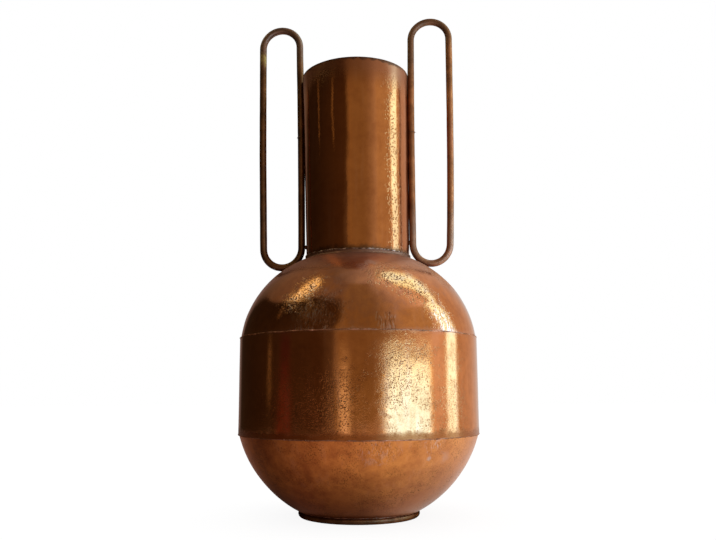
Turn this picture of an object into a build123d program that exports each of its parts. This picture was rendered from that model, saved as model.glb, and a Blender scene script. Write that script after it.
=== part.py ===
from build123d import *
import os
from math import atan2, degrees, sqrt

# Urn vase of sheet copper: a bowl, a belly band, a shoulder dome and a tall neck, lapped and
# soldered, on a foot ring of bent rod, with two closed loops of rod as handles.
# Millimetres, +Z up. The origin is the centre of the foot's underside, and the handles
# stand along +X and -X.

# Sheet and joints
sheet = 0.8                  # thickness of every sheet of copper
lap = 8.0                    # height of the lips that reach inside the belly band
lap_clearance = 0.1          # radial gap between two lapped sheets
side_seam_width = 1.2        # width of the upright soldered seams of the band and the neck
seam_drop = 2.4              # height of the solder along the band's two edges

# Foot ring
foot_rod = 6.6               # diameter of the rod
foot_radius = 56.0           # radius of the rod's centre line
foot_flat = 0.5              # depth of the flat filed on the rod's underside
foot_seat_flat = 0.5         # depth of the flat filed on its top, under the bowl
foot_film = 0.3              # thickness of the solder between the ring and the bowl

# Body
floor_overhang = 3.6         # the bowl's flat floor beyond the foot rod's centre line
bowl_height = 78.2           # underside of the foot to the band's lower edge
bowl_arc = 117.0             # radius of the bowl's outline
belly_radius = 118.4         # outside of the band
belly_height = 93.2          # the band between its two edges
shoulder_height = 80.3       # the band's upper edge to the foot of the collar
shoulder_arc = 98.5          # radius of the dome's outline

# Neck
neck_radius = 52.9           # outside of the neck at the foot of the collar
rim_radius = 56.0            # outside of the neck at the mouth
neck_height = 197.8          # the foot of the collar to the mouth
neck_tuck = 6.0              # how far the neck reaches down inside the dome
collar_height = 3.0          # edge of the dome that is turned up around the neck
collar_solder = 1.2          # height of the solder along the collar's edge
neck_lean = 0.6              # degrees that the neck leans towards the left handle

# Handles
handle_rod = 7.0             # diameter of the rod
handle_length = 270.5        # outside length of a loop
handle_width = 47.4          # outside width of a loop
right_gap_low = 0.3          # between the right loop's inner leg and the neck, at the collar
right_gap_high = 0.3         # the same at the mouth
left_gap_low = 2.2           # between the left loop's inner leg and the neck, at the collar
left_gap_high = 0.4          # the same at the mouth
handle_seat = 0.4            # solder between a loop's lowest bend and the dome
braze_width = 1.0            # brazed joint that closes a loop
braze_height = 120.0         # of that joint, above the centre of the lowest bend
tack_radius = 2.2            # of a solder tack, beyond half the gap that it bridges
tack_base_rise = 2.0         # lowest tack above the centre of the lowest bend
tack_rim_drop = 9.0          # highest tack below the end of the leg's run along the neck
puddle_radius = 6.5          # solder that runs out around a loop's seat
puddle_height = 1.8          # thickness of that solder at its middle

half_turn = 180.0


def arc_centre(low, high, radius):
    """Centre of the arc that bulges away from the axis between two points of the outline."""
    chord = high - low
    towards_axis = Vector(-chord.Y, chord.X).normalized()
    return (low + high) / 2 + towards_axis * sqrt(radius**2 - (chord.length / 2) ** 2)


def arc_point(centre, radius, height):
    """Point of an outline's arc at a height."""
    return Vector(centre.X + sqrt(radius**2 - (height - centre.Y) ** 2), height)


def outline_arc(start, end, centre):
    """The shorter arc about a centre from one point of the outline to another."""
    outward = ((start + end) / 2 - centre).normalized()
    return ThreePointArc(start, centre + outward * (start - centre).length, end)


def turned(section):
    """Solid of revolution of a section drawn with X as the radius and Y as the height."""
    return revolve(Plane.XZ * section, Axis.Z)


def walled(outline):
    """Sheet of revolution whose outside follows an outline that runs upwards."""
    return turned(make_face(offset(outline, amount=sheet, side=Side.LEFT)))


def filled(outline):
    """Solid of revolution of all that lies between an outline and the axis."""
    bottom, top = outline @ 0, outline @ 1
    spine = Polyline(top, (0, top.Y), (0, bottom.Y), bottom)
    return turned(make_face(outline.edges() + spine.edges()))


def neck_side(height):
    """Point of the neck's outside at a height, before the neck leans."""
    flare = (rim_radius - neck_radius) / neck_height
    return Vector(neck_radius + flare * (height - collar_foot), height)


def leaned(degrees_to_right):
    """Turn of the neck about the middle of the collar's foot, in degrees towards +X."""
    return Pos(0, 0, collar_foot) * Rot(0, degrees_to_right, 0) * Pos(0, 0, -collar_foot)


# Heights of the joints, and the points where the body's outline turns
foot_middle = foot_rod / 2 - foot_flat
foot_top = foot_rod - foot_flat - foot_seat_flat
floor_height = foot_top + foot_film
lower_seam = bowl_height
upper_seam = lower_seam + belly_height
collar_foot = upper_seam + shoulder_height
collar_top = collar_foot + collar_height
neck_foot = collar_foot - neck_tuck
mouth = collar_foot + neck_height

lip_radius = belly_radius - sheet - lap_clearance
widest_in_collar = max(neck_side(neck_foot).X, neck_side(collar_top).X)
collar_radius = widest_in_collar + lap_clearance + sheet

bowl_low = Vector(foot_radius + floor_overhang, floor_height)
bowl_high = Vector(lip_radius, lower_seam)
bowl_centre = arc_centre(bowl_low, bowl_high, bowl_arc)
dome_low = Vector(lip_radius, upper_seam)
dome_high = Vector(collar_radius, collar_foot)
dome_centre = arc_centre(dome_low, dome_high, shoulder_arc)

# Foot ring: a bent rod with a flat filed on its underside and one on its top
foot_slab = Pos(foot_radius, 0) * Rectangle(foot_rod, foot_top, align=(Align.CENTER, Align.MIN))
foot_ring = turned(Pos(foot_radius, foot_middle) * Circle(foot_rod / 2) & foot_slab)
foot_seat_width = 2 * sqrt((foot_rod / 2) ** 2 - (foot_top - foot_middle) ** 2)
foot_solder = turned(
    Pos(foot_radius, foot_top)
    * Rectangle(foot_seat_width, foot_film, align=(Align.CENTER, Align.MIN))
)

# Lower bowl: a flat floor, a round side and a lip that stands inside the band
lower_bowl = walled(
    Line((0, floor_height), bowl_low)
    + outline_arc(bowl_low, bowl_high, bowl_centre)
    + Line(bowl_high, (lip_radius, lower_seam + lap))
)

# Belly band: a strip rolled to a cylinder, with an upright seam at the back
band_low = Vector(belly_radius, lower_seam)
band_high = Vector(belly_radius, upper_seam)
band_ring = walled(Line(band_low, band_high))
band_slot = Pos(0, belly_radius, lower_seam) * Box(
    side_seam_width, belly_radius, belly_height, align=(Align.CENTER, Align.CENTER, Align.MIN)
)
belly_band = band_ring - band_slot
belly_side_solder = band_ring & band_slot

# Shoulder dome: a lip inside the band, a round side and a collar turned up around the neck
dome_outline = (
    Line((lip_radius, upper_seam - lap), dome_low)
    + outline_arc(dome_low, dome_high, dome_centre)
    + Line(dome_high, (collar_radius, collar_top))
)
shoulder_dome = walled(dome_outline)
dome_core = filled(dome_outline)

# Neck: a rolled, slightly flared tube that is pushed down through the collar, a little askew
neck_outline = Line(neck_side(neck_foot), neck_side(mouth))
neck_ring = walled(neck_outline)
neck_core = filled(neck_outline)
neck_slot = Pos(0, neck_radius, neck_foot - sheet) * Box(
    side_seam_width, neck_radius, mouth, align=(Align.CENTER, Align.CENTER, Align.MIN)
)
neck_tube = leaned(-neck_lean) * (neck_ring - neck_slot)
neck_side_solder = leaned(-neck_lean) * (neck_ring & neck_slot)

# Solder rings in the corners along the band's two edges and along the collar's edge
bowl_edge = arc_point(bowl_centre, bowl_arc, lower_seam - seam_drop)
lower_seam_solder = turned(
    make_face(
        [
            outline_arc(bowl_edge, bowl_high, bowl_centre),
            Line(bowl_high, band_low),
            Line(band_low, bowl_edge),
        ]
    )
)
dome_edge = arc_point(dome_centre, shoulder_arc, upper_seam + seam_drop)
upper_seam_solder = turned(
    make_face(
        [
            outline_arc(dome_low, dome_edge, dome_centre),
            Line(dome_edge, band_high),
            Line(band_high, dome_low),
        ]
    )
)
collar_edge = Vector(collar_radius, collar_top)
into_wall = (neck_side(collar_top + collar_solder) - collar_edge) * 1.5
collar_corner = [collar_edge, collar_edge + into_wall, collar_edge + Vector(into_wall.X, 0)]
collar_ring = turned(make_face(Polyline(*collar_corner, close=True)))
neck_seam_solder = collar_ring - leaned(-neck_lean) * neck_core


def handle_pieces(gap_low, gap_high, lean):
    """A loop of rod on the +X side, its braze, its tacks on the neck and its seat on the dome.

    The inner leg runs along the neck, with a gap at the collar and one at the mouth, and the
    lowest bend rests on the dome. The neck leans towards the loop by some degrees.
    """
    bend = (handle_width - handle_rod) / 2
    leg = handle_length - handle_width

    # Inner edge of the inner leg, beside a neck that stands straight
    neck_up = (neck_side(mouth) - neck_side(collar_foot)).normalized()
    neck_out = Vector(neck_up.Y, -neck_up.X)
    edge_low = neck_side(collar_foot) + neck_out * gap_low
    edge_high = neck_side(mouth) + neck_out * gap_high
    up = (edge_high - edge_low).normalized()
    out = Vector(up.Y, -up.X)

    # The centre of the lowest bend lies on the loop's middle line, one reach from the dome's centre
    pivot = Vector(0, collar_foot)
    seat_centre = pivot + (dome_centre - pivot).rotate(Axis.Z, lean)
    middle_line = edge_low + out * (handle_rod / 2 + bend)
    reach = shoulder_arc + handle_seat + handle_width / 2
    offset_line = middle_line - seat_centre
    climb = offset_line.dot(up)
    foot = middle_line + up * (sqrt(climb**2 - offset_line.dot(offset_line) + reach**2) - climb)
    place = leaned(lean) * Pos(foot.X, 0, foot.Y) * Rot(0, degrees(atan2(up.X, up.Y)), 0)

    path = Plane.XZ * Wire(
        [
            Line((-bend, 0), (-bend, leg)),
            ThreePointArc((-bend, leg), (0, leg + bend), (bend, leg)),
            Line((bend, leg), (bend, 0)),
            ThreePointArc((bend, 0), (0, -bend), (-bend, 0)),
        ]
    )
    rod_end = Plane(path @ 0, z_dir=path % 0) * Circle(handle_rod / 2)
    loop = place * sweep(rod_end, path=path)
    braze_cut = place * Pos(-bend, 0, braze_height) * Cylinder(handle_rod, braze_width)

    # Tacks stand where the leg runs along the neck: near both ends of that run and half way
    lowest = foot.Y + tack_base_rise
    highest = min(mouth, foot.Y + leg) - tack_rim_drop
    tacks = []
    for height in (lowest, (lowest + highest) / 2, highest):
        on_neck = neck_side(height)
        on_leg = edge_low + up * ((height - edge_low.Y) / up.Y)
        point = (on_neck + on_leg) / 2
        ball = Pos(point.X, 0, point.Y) * Sphere(tack_radius + (on_leg - on_neck).length / 2)
        tacks.append(leaned(lean) * (ball - neck_core) - loop)

    # The puddle is the cap of a large ball that stands out of the dome under the lowest bend
    ball_radius = (puddle_radius**2 + puddle_height**2) / (2 * puddle_height)
    seat_normal = (foot - seat_centre).normalized()
    ball_centre = seat_centre + seat_normal * (shoulder_arc + puddle_height - ball_radius)
    puddle = leaned(lean) * Pos(ball_centre.X, 0, ball_centre.Y) * Sphere(ball_radius)

    return {
        "handle": loop - braze_cut,
        "handle_braze": loop & braze_cut,
        "neck_tacks": Compound(tacks),
        "seat_solder": puddle - dome_core - loop,
    }


nodes = {
    "foot_ring": foot_ring,
    "foot_solder": foot_solder,
    "lower_bowl": lower_bowl,
    "lower_seam_solder": lower_seam_solder,
    "belly_band": belly_band,
    "belly_side_solder": belly_side_solder,
    "upper_seam_solder": upper_seam_solder,
    "shoulder_dome": shoulder_dome,
    "neck_seam_solder": neck_seam_solder,
    "neck_tube": neck_tube,
    "neck_side_solder": neck_side_solder,
}
right_pieces = handle_pieces(right_gap_low, right_gap_high, -neck_lean)
left_pieces = handle_pieces(left_gap_low, left_gap_high, neck_lean)
for side, pieces, turn in (("right", right_pieces, 0), ("left", left_pieces, half_turn)):
    for piece, solid in pieces.items():
        nodes[f"{side}_{piece}"] = Rot(0, 0, turn) * solid

os.makedirs("parts", exist_ok=True)
for name, solid in nodes.items():
    export_step(solid, f"parts/{name}.step")
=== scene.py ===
"""Looks of a hand-made copper urn vase: worked sheet, bent rod and solder around its frame.

Metres, +Z up, with the origin at the centre of the foot's underside.
"""

from __future__ import annotations

import logging
import math
from collections.abc import Sequence
from dataclasses import dataclass, field
from enum import Enum
from typing import Any

import bmesh
import bpy
from bpy.types import Material, Mesh, Node, NodeTree, Object
from mathutils import Matrix, Vector, noise


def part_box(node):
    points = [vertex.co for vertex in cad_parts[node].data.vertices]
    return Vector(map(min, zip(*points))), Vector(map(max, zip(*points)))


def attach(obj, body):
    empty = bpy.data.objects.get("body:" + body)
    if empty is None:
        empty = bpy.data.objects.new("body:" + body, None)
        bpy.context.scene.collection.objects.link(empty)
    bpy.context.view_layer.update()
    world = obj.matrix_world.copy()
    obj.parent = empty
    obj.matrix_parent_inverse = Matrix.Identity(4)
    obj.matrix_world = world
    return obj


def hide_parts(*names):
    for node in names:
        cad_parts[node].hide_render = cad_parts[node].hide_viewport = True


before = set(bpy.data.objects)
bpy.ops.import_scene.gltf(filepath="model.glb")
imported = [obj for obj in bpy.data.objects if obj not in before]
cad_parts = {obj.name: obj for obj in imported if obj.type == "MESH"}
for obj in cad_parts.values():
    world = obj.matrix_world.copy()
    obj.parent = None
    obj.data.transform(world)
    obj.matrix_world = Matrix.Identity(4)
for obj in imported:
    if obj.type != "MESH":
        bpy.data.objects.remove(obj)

LOG = logging.getLogger("urn_vase")
BODY = "root"
FULL_TURN = 2 * math.pi

SHEET_THICKNESS = 0.0008
COLLAR_HEIGHT = 0.003
INSIDE_EVERY = 3
SHARP_ANGLE = math.radians(50)
EDGE_ROUND = 0.3
LUMP_FINENESS = 4
LUMP_DEPTH = 0.16
LUMP_WAVES = 1.7
LUMP_VARIETY = 900
CARD_MAP = "card"

Colour = tuple[float, float, float]
Place = tuple[float, float, float]
Station = tuple[float, float, float]
Step = tuple[float, float]
Operand = "Wire | float | Colour"


class Slot(Enum):
    """The record's material slots."""

    SHEET = "sheet_copper"
    BOWL = "bowl_copper"
    ROD = "rod_copper"
    SOLDER = "solder"


class Side(Enum):
    """The two sides that carry a handle, with the sign of their X."""

    RIGHT = 1
    LEFT = -1

    @property
    def label(self) -> str:
        """The side's word in the names of pieces and nodes."""
        return self.name.lower()


class Run(Enum):
    """The way along which a card changes its colour."""

    ACROSS = 0
    UPWARD = 1


class Wire:
    """A node, seen through one of its outputs, that Python's operators work on."""

    def __init__(self, graph: Graph, node: Node, socket: Any = None) -> None:
        """Keeps the node and one output, by default its first.

        Args:
            graph: The graph that the node is in.
            node: The node.
            socket: The output that the wire leaves from.
        """
        self.graph = graph
        self.node = node
        self.socket = socket or next((s for s in node.outputs if s.enabled), None)

    def output(self, name: str) -> Wire:
        """Another output of the same node."""
        return Wire(self.graph, self.node, self.node.outputs[name])

    def is_vector(self) -> bool:
        """Whether the output is a vector or a colour."""
        return self.socket.type in {"VECTOR", "RGBA"}

    def join(self, operation: str, left: Operand, right: Operand) -> Wire:
        """Adds a Math node, or a Vector Math node where a side is a vector.

        Args:
            operation: The node's operation.
            left: The first operand.
            right: The second operand.

        Returns:
            The result.
        """
        sides = [left, right]
        if not any(isinstance(s, tuple) or isinstance(s, Wire) and s.is_vector() for s in sides):
            return self.graph.node("ShaderNodeMath", {"operation": operation}, {0: left, 1: right})
        sides = [(s,) * 3 if isinstance(s, (int, float)) else s for s in sides]
        return self.graph.node(
            "ShaderNodeVectorMath", {"operation": operation}, {0: sides[0], 1: sides[1]}
        )

    def __add__(self, other: Operand) -> Wire:
        """The sum."""
        return self.join("ADD", self, other)

    def __radd__(self, other: Operand) -> Wire:
        """The sum, from the right."""
        return self.join("ADD", other, self)

    def __sub__(self, other: Operand) -> Wire:
        """The difference."""
        return self.join("SUBTRACT", self, other)

    def __rsub__(self, other: Operand) -> Wire:
        """The difference, from the right."""
        return self.join("SUBTRACT", other, self)

    def __mul__(self, other: Operand) -> Wire:
        """The product."""
        return self.join("MULTIPLY", self, other)

    def __rmul__(self, other: Operand) -> Wire:
        """The product, from the right."""
        return self.join("MULTIPLY", other, self)

    def __truediv__(self, other: Operand) -> Wire:
        """The quotient."""
        return self.join("DIVIDE", self, other)

    def __rtruediv__(self, other: Operand) -> Wire:
        """The quotient, from the right."""
        return self.join("DIVIDE", other, self)


class Graph:
    """Adds nodes to one node tree."""

    def __init__(self, tree: NodeTree) -> None:
        """Starts with an empty tree."""
        self.tree = tree
        tree.nodes.clear()

    def node(
        self,
        kind: str,
        settings: dict[str, Any] | None = None,
        sockets: dict[str | int, Any] | None = None,
    ) -> Wire:
        """Adds a node.

        Args:
            kind: The node's type.
            settings: Its properties, which are set first.
            sockets: Values, or wires to link, by the input's name or number.

        Returns:
            The node's first output.
        """
        made = self.tree.nodes.new(kind)
        for name, value in (settings or {}).items():
            setattr(made, name, value)
        for key, value in (sockets or {}).items():
            by_name = (s for s in made.inputs if s.enabled and s.name == key)
            socket = made.inputs[key] if isinstance(key, int) else next(by_name)
            for given in value if isinstance(value, list) else [value]:
                if isinstance(given, Wire):
                    self.tree.links.new(given.socket, socket)
                else:
                    wide = socket.type == "RGBA" and len(given) == 3
                    socket.default_value = (*given, 1.0) if wide else given
        return Wire(self, made)

    def math(self, operation: str, value: Wire) -> Wire:
        """A Math node with one operand."""
        return self.node("ShaderNodeMath", {"operation": operation}, {0: value})

    def parts(self, vector: Wire) -> tuple[Wire, Wire, Wire]:
        """The three components of a vector."""
        split = self.node("ShaderNodeSeparateXYZ", None, {"Vector": vector})
        return split.output("X"), split.output("Y"), split.output("Z")

    def vector(self, x: Operand, y: Operand, z: Operand) -> Wire:
        """A vector of three components."""
        return self.node("ShaderNodeCombineXYZ", None, {"X": x, "Y": y, "Z": z})

    def noise(self, place: Wire, size: float | Wire, detail: float = 2.0, rough: float = 0.5,
              seed: float | Wire = 0.0) -> Wire:
        """Seeded cloudy noise from 0 to 1.

        Args:
            place: Where it is read.
            size: Length of a cloud, in metres.
            detail: How many finer layers it has.
            rough: How strong those layers are.
            seed: The slice of the noise.

        Returns:
            The noise.
        """
        scale = 1.0 / size
        sockets = {"Vector": place, "W": seed, "Scale": scale, "Detail": detail, "Roughness": rough}
        return self.node("ShaderNodeTexNoise", {"noise_dimensions": "4D"}, sockets)

    def smooth(self, value: Wire, low: float, high: float) -> Wire:
        """A soft step between 0 and 1.

        Args:
            value: What is stepped.
            low: Where the step is 0, which may lie above where it is 1.
            high: Where the step is 1.

        Returns:
            The step.
        """
        ends = {"To Min": 0.0, "To Max": 1.0} if low < high else {"To Min": 1.0, "To Max": 0.0}
        span = {"From Min": min(low, high), "From Max": max(low, high)}
        settings = {"interpolation_type": "SMOOTHSTEP"}
        return self.node("ShaderNodeMapRange", settings, {"Value": value, **span, **ends})

    def mix(self, share: Operand, first: Operand, second: Operand) -> Wire:
        """A colour between two others."""
        sockets = {"Factor": share, "A": first, "B": second}
        return self.node("ShaderNodeMix", {"data_type": "RGBA"}, sockets)

    def measure(self, operation: str, *vectors: Operand) -> Wire:
        """The number that a Vector Math node makes of one or two vectors."""
        settings = {"operation": operation}
        return self.node("ShaderNodeVectorMath", settings, dict(enumerate(vectors))).output("Value")

    def place(self) -> Wire:
        """Where a point of a piece lies, in metres from the origin."""
        return self.node("ShaderNodeTexCoord").output("Object")

    def glow(self, colour: Operand, strength: float = 1.0) -> Wire:
        """Light of a colour."""
        return self.node("ShaderNodeEmission", None, {"Color": colour, "Strength": strength})

    def finish(self, surface: Wire) -> None:
        """Gives the material its surface."""
        self.node("ShaderNodeOutputMaterial", None, {"Surface": surface})

    def metal(self, colour: Wire, rough: Wire, relief: Wire, edge: Colour) -> None:
        """Gives the material the surface of bare metal.

        Args:
            colour: Its colour.
            rough: Its roughness.
            relief: Height of its fine relief, in metres.
            edge: Its tint where it is seen from a low angle.
        """
        bump = self.node("ShaderNodeBump", None, {"Distance": 1.0, "Height": relief})
        self.finish(self.node("ShaderNodeBsdfPrincipled", None, {
            "Base Color": colour, "Metallic": 1.0, "Roughness": rough, "Normal": bump,
            "Specular Tint": edge,
        }))


def new_material(name: str) -> tuple[Material, Graph]:
    """Makes an empty node material.

    Args:
        name: Its name.

    Returns:
        The material and its graph.
    """
    material = bpy.data.materials.new(name)
    material.use_nodes = True
    return material, Graph(material.node_tree)


@dataclass(frozen=True)
class Spot:
    """A round patch on the surface, where it is stained, pitted, dulled, scuffed or carries a painted
    highlight: its centre, its reach and how strongly it shows.
    """

    centre: Place
    reach: float
    share: float


def spot_row(first: Place, last: Place, count: int, reach: float, share: float) -> tuple[Spot, ...]:
    """Even row of equal spots.

    Args:
        first: Centre of the first spot.
        last: Centre of the last spot.
        count: How many spots there are.
        reach: Their reach.
        share: How strongly they show.

    Returns:
        The spots.
    """
    start, end = Vector(first), Vector(last)
    places = (start.lerp(end, i / (count - 1)) for i in range(count))
    return tuple(Spot(tuple(place), reach, share) for place in places)


@dataclass(frozen=True)
class Zone:
    """Stretch of the surface with its own colour and dullness, from where it starts to where it is
    full: tarnish in most zones, painted shade and painted highlight in some others.

    Both places are distances from the origin along an axis, which is upright unless another is given.
    """

    start: float
    full: float
    colour: Colour
    share: float
    dull: float
    along: Place = (0.0, 0.0, 1.0)


@dataclass(frozen=True)
class CopperFinish:
    """Old worked copper: tarnish clouds, wiped streaks, pitting, stains, scratches and a fine peel,
    with painted shade and painted highlights where its zones and spots hold them.
    """

    name: str
    bright: Colour = (0.45, 0.155, 0.05)
    brown: Colour = (0.36, 0.112, 0.033)
    rose: Colour = (0.44, 0.18, 0.1)
    dark: Colour = (0.07, 0.026, 0.006)
    pale: Colour = (0.5, 0.36, 0.3)
    edge: Colour = (0.88, 0.76, 0.68)
    roughness: float = 0.07
    roughness_spread: float = 0.07
    cloud_size: float = 0.07
    mottle_size: float = 0.008
    mottle_squash: float = 1.0
    mottle_share: float = 0.3
    tone_step: Step = (0.36, 0.64)
    pitting_size: float = 0.0009
    pitting_share: float = 0.32
    grain_share: float = 0.5
    grain_step: Step = (0.48, 0.64)
    pit_base: float = 0.05
    pit_depth: float = 0.00004
    pit_dull: float = 0.1
    pit_scale: float = 0.55
    pit_ragged: float = 1.2
    coarse_times: float = 2.6
    pit_step: Step = (0.46, 0.08)
    patch_size: float = 0.022
    patch_step: Step = (0.36, 0.62)
    peel_depth: float = 0.00003
    streak_share: float = 0.35
    streak_tone: float = 0.2
    streak_size: float = 0.009
    streak_squash: float = 0.09
    streak_step: Step = (0.5, 0.78)
    spot_core: float = 0.3
    spot_ragged: float = 2.5
    stain_dull: float = 0.2
    zone_ragged: float = 0.012
    scratch_size: float = 0.0011
    scratch_squash: float = 0.05
    scratch_step: Step = (0.52, 0.62)
    groove_step: Step = (0.46, 0.38)
    seed: float = 0.0
    pitted: tuple[Spot, ...] = ()
    dulled: tuple[Spot, ...] = ()
    spots: tuple[Spot, ...] = ()
    scuffs: tuple[Spot, ...] = ()
    zones: tuple[Zone, ...] = ()

    def nearness(self, graph: Graph, place: Wire, spot: Spot, mottle: Wire) -> Wire:
        """How much of a spot there is at a place.

        Args:
            graph: The material's graph.
            place: Where it is read.
            spot: The spot.
            mottle: Noise that makes its outline uneven.

        Returns:
            The spot's share at its middle, and 0 outside it.
        """
        away = graph.measure("DISTANCE", place, spot.centre) / spot.reach
        ragged = away + (mottle - 0.5) * self.spot_ragged
        return graph.smooth(ragged, 1.0, self.spot_core) * spot.share

    def material(self) -> Material:
        """Builds the material.

        Returns:
            The material.
        """
        material, graph = new_material(self.name)
        seed = self.seed
        place = graph.place()
        squashed = place * (1.0, 1.0, self.mottle_squash)
        drawn = place * (1.0, 1.0, self.streak_squash)
        cloud = graph.noise(place, self.cloud_size, detail=4.0, rough=0.6, seed=seed)
        mottle = graph.noise(squashed, self.mottle_size, detail=5.0, rough=0.65, seed=seed + 1.0)
        grain = graph.noise(place, self.pitting_size, detail=2.0, rough=0.6, seed=seed + 2.0)
        streak = graph.noise(drawn, self.streak_size, detail=4.0, rough=0.6, seed=seed + 3.0)
        patch = graph.noise(place, self.patch_size, detail=3.0, rough=0.6, seed=seed + 4.0)
        coarse_size = self.pitting_size * self.coarse_times
        coarse = graph.noise(place, coarse_size, detail=3.0, rough=0.7, seed=seed + 5.0)

        cloud_share = 1.0 - self.streak_tone - self.mottle_share
        blotch = cloud * cloud_share + mottle * self.mottle_share + streak * self.streak_tone
        colour = graph.mix(graph.smooth(blotch, *self.tone_step), self.brown, self.bright)
        wiped = graph.smooth(streak, *self.streak_step) * self.streak_share
        colour = graph.mix(wiped, colour, self.rose)
        rough = self.roughness + (mottle - 0.5) * self.roughness_spread
        # Zones: tarnish, and in places painted shade and painted highlights.
        for zone in self.zones:
            ragged = graph.measure("DOT_PRODUCT", place, zone.along) + (mottle - 0.5) * self.zone_ragged
            share = graph.smooth(ragged, zone.start, zone.full) * zone.share
            colour = graph.mix(share, colour, zone.colour)
            rough = rough + share * zone.dull
        for spot in self.dulled:
            rough = rough + self.nearness(graph, place, spot, mottle)
        # Pale spots: stains, and on the left rod a painted highlight.
        for spot in self.spots:
            stain_and_glint = self.nearness(graph, place, spot, mottle)
            colour = graph.mix(stain_and_glint, colour, self.pale)
            rough = rough + stain_and_glint * self.stain_dull

        crowd = graph.smooth(patch, *self.patch_step) * self.pit_base
        for spot in self.pitted:
            crowd = crowd + self.nearness(graph, place, spot, mottle)
        sockets = {"Vector": place, "Scale": self.pit_scale / self.pitting_size}
        dots = graph.node("ShaderNodeTexVoronoi", None, sockets).output("Distance")
        pits = graph.smooth(dots + (coarse - 0.5) * self.pit_ragged, *self.pit_step) * crowd
        dirt = pits + graph.smooth(grain, *self.grain_step) * crowd * self.grain_share
        colour = graph.mix(dirt * self.pitting_share, colour, self.dark)
        rough = rough + pits * self.pit_dull
        relief = pits * -self.pit_depth - grain * self.peel_depth

        if self.scuffs:
            drawn = place * (1.0, 1.0, self.scratch_squash)
            lines = graph.noise(drawn, self.scratch_size, detail=2.0, rough=0.6, seed=seed + 6.0)
            for scuff in self.scuffs:
                marks = self.nearness(graph, place, scuff, mottle)
                colour = graph.mix(graph.smooth(lines, *self.scratch_step) * marks, colour, self.pale)
                colour = graph.mix(graph.smooth(lines, *self.groove_step) * marks, colour, self.dark)
                relief = relief - lines * marks * self.peel_depth
        graph.metal(colour, rough, relief, self.edge)
        return material


@dataclass(frozen=True)
class SolderFinish:
    """Dull solder that is pale where it lies bare and brown where tarnish covers it."""

    name: str = "dull_solder"
    pale: Colour = (0.48, 0.2, 0.115)
    brown: Colour = (0.2, 0.078, 0.04)
    edge: Colour = (0.8, 0.5, 0.35)
    roughness: float = 0.5
    roughness_spread: float = 0.25
    patch_size: float = 0.012
    patch_step: Step = (0.42, 0.66)
    grain_size: float = 0.0015
    grain_depth: float = 0.00012
    seed: float = 11.0

    def material(self) -> Material:
        """Builds the material.

        Returns:
            The material.
        """
        material, graph = new_material(self.name)
        place = graph.place()
        patch = graph.noise(place, self.patch_size, detail=4.0, rough=0.65, seed=self.seed)
        grain = graph.noise(place, self.grain_size, detail=2.0, rough=0.6, seed=self.seed + 1.0)
        colour = graph.mix(graph.smooth(patch, *self.patch_step), self.brown, self.pale)
        rough = self.roughness + (grain - 0.5) * self.roughness_spread
        graph.metal(colour, rough, grain * self.grain_depth, self.edge)
        return material


class Tool:
    """A Geometry Nodes tree that makes a finished piece of a row of points."""

    def __init__(self, name: str, usual: dict[str, float]) -> None:
        """Makes the tree and its named inputs.

        Args:
            name: The tree's name.
            usual: Usual values by the input's name, whole where the input counts something.
        """
        self.tree = bpy.data.node_groups.new(name, "GeometryNodeTree")
        self.graph = Graph(self.tree)
        self.usual = {**usual, "Seed": 0.0}
        kinds = {"Geometry": "Geometry"}
        for label, value in self.usual.items():
            kinds[label] = "Int" if isinstance(value, int) else "Float"
        kinds["Finish"] = "Material"
        face = self.tree.interface
        face.new_socket("Geometry", in_out="OUTPUT", socket_type="NodeSocketGeometry")
        self.identifiers = {
            label: face.new_socket(label, in_out="INPUT", socket_type=f"NodeSocket{kind}").identifier
            for label, kind in kinds.items()
        }
        self.given = self.graph.node("NodeGroupInput")
        self.host = self.given.output("Geometry")

    def close(self, geometry: Wire) -> None:
        """Ends the tree: real smooth geometry with its material.

        Args:
            geometry: What the tree has made.
        """
        graph = self.graph
        real = graph.node("GeometryNodeRealizeInstances", None, {"Geometry": geometry})
        even = graph.node("GeometryNodeSetShadeSmooth", None, {"Geometry": real})
        sockets = {"Geometry": even, "Material": self.given.output("Finish")}
        dressed = graph.node("GeometryNodeSetMaterial", None, sockets)
        graph.node("NodeGroupOutput", None, {"Geometry": dressed})

    def make(self, name: str, points: Sequence[Vector], finish: Material, closed: bool | None = None,
             **sizes: float) -> Object:
        """Runs the tree on a row of points.

        Args:
            name: The piece's name.
            points: The points that the tree starts from.
            finish: The piece's material.
            closed: Whether the row runs back to its start. None gives points alone.
            sizes: Inputs that differ from the usual ones, with _ for the space in an input's name.

        Returns:
            The piece, as a plain mesh that faces outwards.
        """
        host = bpy.data.meshes.new(name)
        count = len(points)
        links = [] if closed is None else [(i, (i + 1) % count) for i in range(count - (not closed))]
        host.from_pydata([tuple(p) for p in points], links, [])
        piece = bpy.data.objects.new(name, host)
        modifier = piece.modifiers.new(self.tree.name, "NODES")
        modifier.node_group = self.tree
        special = {key.replace("_", " "): value for key, value in sizes.items()}
        for label, value in {**self.usual, **special, "Finish": finish}.items():
            modifier[self.identifiers[label]] = value
        bpy.context.scene.collection.objects.link(piece)
        view = bpy.context.evaluated_depsgraph_get()
        mesh = bpy.data.meshes.new_from_object(piece.evaluated_get(view), depsgraph=view)
        piece.modifiers.clear()
        piece.data = mesh
        mesh.name = name
        face_outwards(mesh)
        return piece


def face_outwards(mesh: Mesh) -> None:
    """Turns a closed mesh the right way round and keeps its hard edges sharp.

    Args:
        mesh: The mesh.
    """
    shell = bmesh.new()
    shell.from_mesh(mesh)
    if shell.calc_volume(signed=True) < 0:
        bmesh.ops.reverse_faces(shell, faces=shell.faces)
    shell.to_mesh(mesh)
    shell.free()
    mesh.set_sharp_from_angle(angle=SHARP_ANGLE)


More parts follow.
